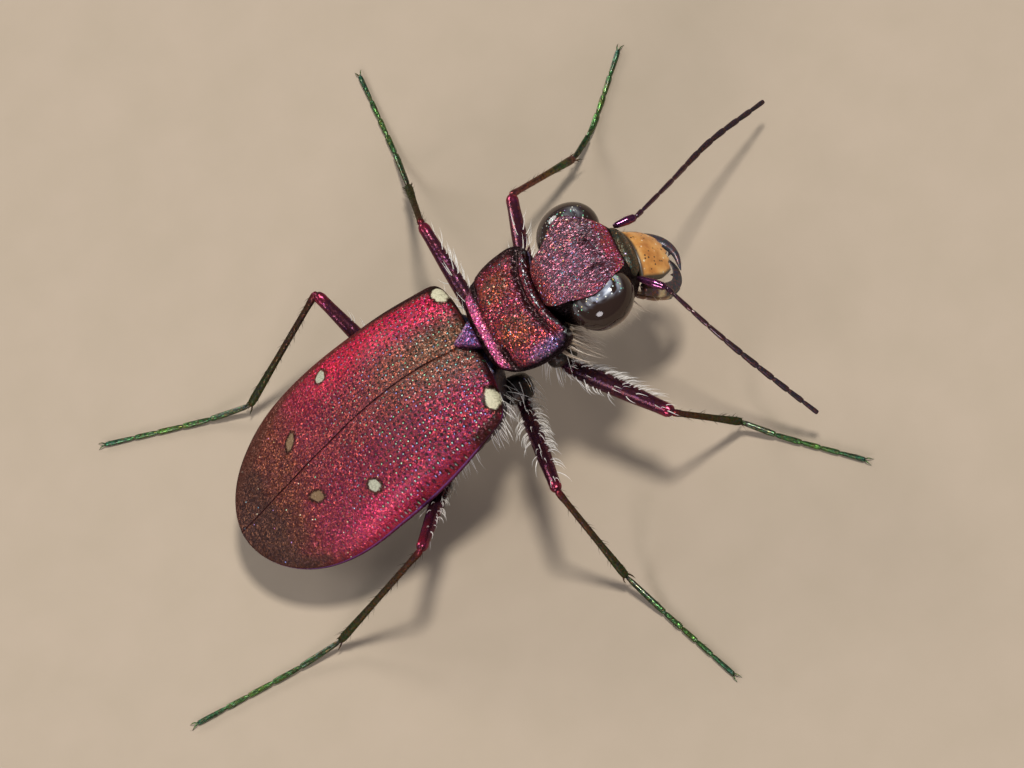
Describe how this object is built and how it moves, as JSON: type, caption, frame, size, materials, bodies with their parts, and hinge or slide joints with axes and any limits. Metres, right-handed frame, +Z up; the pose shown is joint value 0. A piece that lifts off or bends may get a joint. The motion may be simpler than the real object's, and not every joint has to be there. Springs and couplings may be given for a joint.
{
  "type": "tiger beetle",
  "caption": "Life-size still model of a crimson metallic tiger beetle standing with spread legs, lowered feelers and small cream spots on its wing cases.",
  "frame": {"origin": "on the floor, under the middle of the whole beetle with its legs and feelers", "axes": "+Z up from the floor; the beetle faces -Y and its left side is +X"},
  "size_m": [0.0222, 0.0214, 0.0056],
  "materials": {
    "wing_case": "metallic crimson with fine sparkling grain, satin",
    "shield": "metallic crimson with orange grain, satin",
    "head": "metallic dull crimson, finely striated",
    "scutellum": "metallic blue violet",
    "body_under": "dark metallic, thinly haired",
    "eye": "glossy dark brown, finely faceted",
    "face_plate": "dark green black",
    "lip": "ochre, waxy with dark specks",
    "jaw": "dark metallic with pale patch at the base",
    "palp": "pale with dark metallic tips",
    "scape": "glossy purple",
    "flagellum": "coppery purple at the root, dull blue grey beyond",
    "hip": "dark purple metallic",
    "thigh": "purple metallic with white bristles",
    "shin": "bronze green metallic",
    "foot": "emerald metallic"
  },
  "bodies": {
    "root": {"elytron_left": "wing_case", "elytron_right": "wing_case", "prothorax": "shield", "head": "head", "scutellum": "scutellum", "abdomen": "body_under", "thorax": "body_under", "eye_left": "eye", "eye_right": "eye", "clypeus": "face_plate", "labrum": "lip", "mandible_left": "jaw", "mandible_right": "jaw", "maxillary_palp_left": "palp", "maxillary_palp_right": "palp", "labial_palp_left": "palp", "labial_palp_right": "palp", "scape_left": "scape", "scape_right": "scape", "flagellum_left": "flagellum", "flagellum_right": "flagellum", "left_front_coxa": "hip", "left_front_femur": "thigh", "left_front_tibia": "shin", "left_front_tarsus": "foot", "left_middle_coxa": "hip", "left_middle_femur": "thigh", "left_middle_tibia": "shin", "left_middle_tarsus": "foot", "left_hind_coxa": "hip", "left_hind_femur": "thigh", "left_hind_tibia": "shin", "left_hind_tarsus": "foot", "right_front_coxa": "hip", "right_front_femur": "thigh", "right_front_tibia": "shin", "right_front_tarsus": "foot", "right_middle_coxa": "hip", "right_middle_femur": "thigh", "right_middle_tibia": "shin", "right_middle_tarsus": "foot", "right_hind_coxa": "hip", "right_hind_femur": "thigh", "right_hind_tibia": "shin", "right_hind_tarsus": "foot"}
  },
  "joints": []
}
